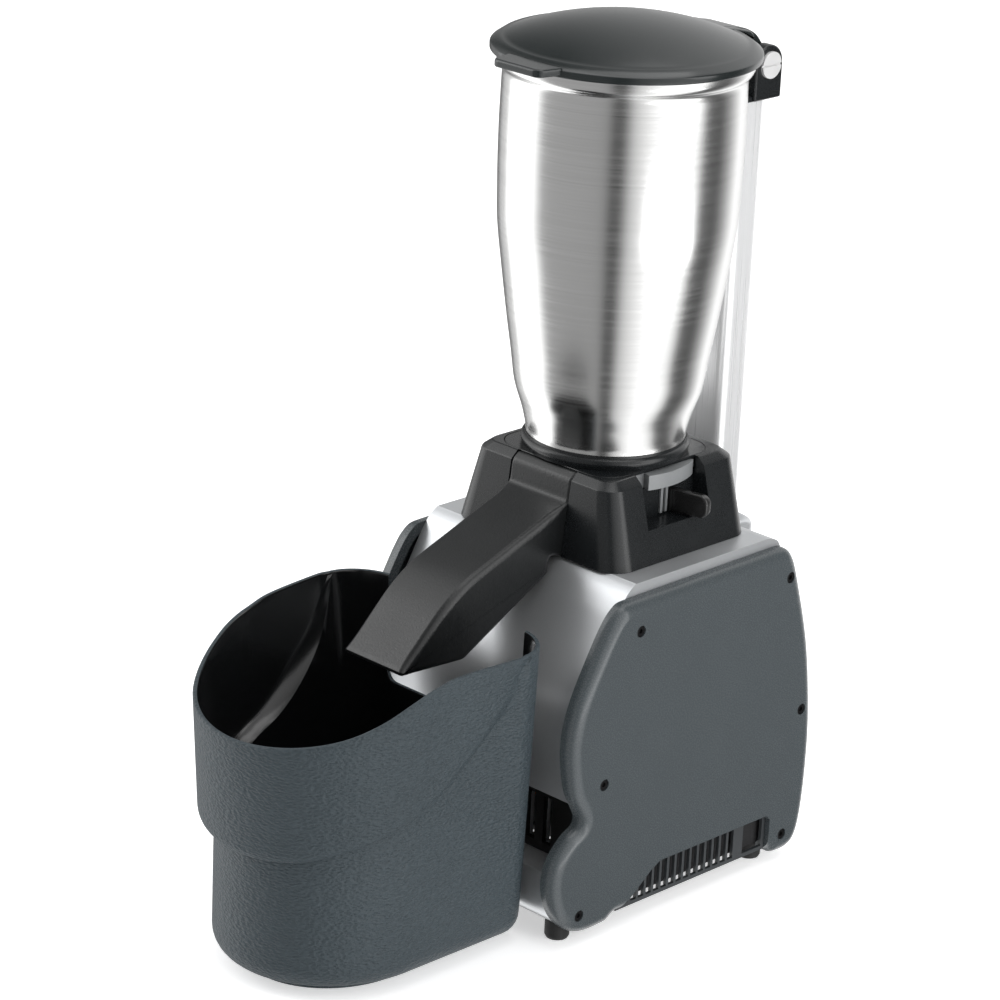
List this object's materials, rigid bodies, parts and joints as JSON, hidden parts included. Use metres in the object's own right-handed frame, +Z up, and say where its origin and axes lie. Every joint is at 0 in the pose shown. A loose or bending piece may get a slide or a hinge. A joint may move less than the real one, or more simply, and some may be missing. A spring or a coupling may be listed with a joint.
{
  "type": "countertop ice crusher",
  "caption": "Countertop bar ice crusher with a steel hopper, hinged lid, motor body, crushing head with fineness lever, falling spout and lift-away ice bin.",
  "frame": {"origin": "on the worktop under the middle of the outer box", "axes": "+Z up, -Y towards the front where the bin stands, +X to the user's right when facing the front, the side with the lever"},
  "size_m": [0.164, 0.364, 0.4665],
  "materials": {
    "silver_paint": "satin silver metallic paint on cast aluminium",
    "grey_plastic": "satin dark grey moulding",
    "grille_plastic": "satin",
    "black_plastic": "fine grained black",
    "lid_plastic": "smooth satin black",
    "ring_plastic": "satin mid grey",
    "bin_plastic": "leather grain outside, gloss black inside",
    "hopper_steel": "brushed round the axis",
    "column_alu": "satin",
    "casting": "raw casting",
    "steel_parts": "plain",
    "laminations": "varnished",
    "copper": "enamelled copper",
    "rubber": "matt",
    "inner_plastic": "plain",
    "rocker_plastic": "gloss dark green",
    "label": "blank label"
  },
  "bodies": {
    "frame": {"body_shell": "silver_paint", "base_plate": "steel_parts", "right_cover": "grey_plastic", "left_cover": "grey_plastic", "right_grille": "grille_plastic", "left_grille": "grille_plastic", "right_cover_screws": "steel_parts", "left_cover_screws": "steel_parts", "feet": "rubber", "foot_screws": "steel_parts", "recess_panel": "black_plastic", "crusher_housing": "black_plastic", "housing_plate": "black_plastic", "spout": "black_plastic", "hopper_collar": "black_plastic", "fixed_blades": "hopper_steel", "hopper": "hopper_steel", "column": "column_alu", "column_screws": "steel_parts", "hinge_block": "black_plastic", "hinge_pin": "steel_parts", "interlock_switch": "inner_plastic", "rating_plate": "label", "upper_bracket": "casting", "lower_bracket": "casting", "stator": "laminations", "windings": "copper", "through_bolts": "steel_parts", "upper_bearing": "steel_parts", "lower_bearing": "steel_parts", "shaft_seal": "rubber", "head_studs": "steel_parts", "capacitor": "inner_plastic", "terminal_block": "inner_plastic", "cable_gland": "black_plastic", "switch_body": "black_plastic"},
    "rotor": {"shaft": "steel_parts", "motor_rotor": "laminations", "cooling_fan": "inner_plastic", "crusher_disc": "hopper_steel", "disc_nut": "hopper_steel"},
    "lid": {"lid": "lid_plastic", "lid_knuckle": "black_plastic", "lid_magnet": "inner_plastic"},
    "adjuster": {"adjuster_ring": "ring_plastic", "adjuster_lever": "black_plastic"},
    "rocker": {"rocker": "rocker_plastic"},
    "bin": {"ice_bin": "bin_plastic"}
  },
  "joints": [
    {"name": "lid_hinge", "type": "hinge", "parent": "frame", "child": "lid", "pos_m": [0, 0.1715, 0.432], "axis": [-1, 0, 0], "range_deg": [0, 95]},
    {"name": "fineness_lever", "type": "hinge", "parent": "frame", "child": "adjuster", "pos_m": [0, 0.0815, 0.22], "axis": [0, 0, 1], "range_deg": [-30, 8]},
    {"name": "motor_spin", "type": "hinge", "parent": "frame", "child": "rotor", "pos_m": [0, 0.0815, 0.1], "axis": [0, 0, 1], "continuous": true},
    {"name": "switch_rocker", "type": "hinge", "parent": "frame", "child": "rocker", "pos_m": [-0.073, 0.1265, 0.15], "axis": [0, -1, 0], "range_deg": [0, 16]},
    {"name": "bin_slide", "type": "slide", "parent": "frame", "child": "bin", "axis": [0, -1, 0], "range_m": [0, 0.2]}
  ]
}
